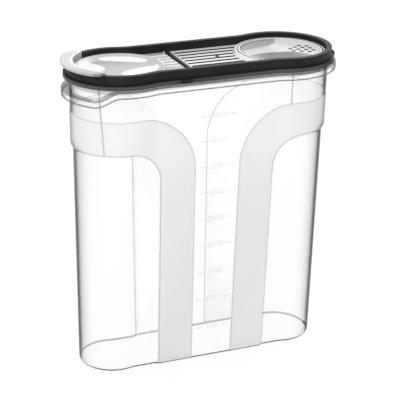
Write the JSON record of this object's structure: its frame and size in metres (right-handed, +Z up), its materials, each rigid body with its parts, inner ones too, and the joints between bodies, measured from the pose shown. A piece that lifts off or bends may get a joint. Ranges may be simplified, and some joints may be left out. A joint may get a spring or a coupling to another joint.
{
  "type": "cereal container",
  "caption": "Tall clear dispenser for cereal with a waisted plan, frosted grip bands, a black framed lid, a flip spout flap and a turning sieve dial.",
  "frame": {"origin": "Middle of the tub's base, on the surface it stands on.", "axes": "X runs along the container with the flip spout at -X, Y across it with the side of the volume scale at -Y, Z up."},
  "size_m": [0.2774, 0.11, 0.3144],
  "materials": {
    "clear_plastic": "clear, with frosted bands round the grip hollows and the middle window",
    "black_plastic": "satin black",
    "milky_plastic": "translucent, lightly clouded",
    "seal": "soft, pale grey"
  },
  "bodies": {
    "tub": {"tub": "clear_plastic"},
    "lid": {"lid_frame": "black_plastic", "lid_seal": "seal", "deck_plate": "milky_plastic", "deck_peg": "black_plastic", "hinge_pin": "black_plastic", "flap_seal": "seal"},
    "flap": {"flap": "milky_plastic"},
    "dial": {"dosing_dial": "milky_plastic"}
  },
  "joints": [
    {"name": "lid_lift", "type": "slide", "parent": "tub", "child": "lid", "axis": [0, 0, 1], "range_m": [0, 0.06]},
    {"name": "flap_hinge", "type": "hinge", "parent": "lid", "child": "flap", "pos_m": [-0.0205, 0, 0.3038], "axis": [0, 1, 0], "range_deg": [0, 110]},
    {"name": "dial_turn", "type": "hinge", "parent": "lid", "child": "dial", "pos_m": [0.0837, 0, 0.304], "axis": [0, 0, 1], "range_deg": [0, 180]}
  ]
}
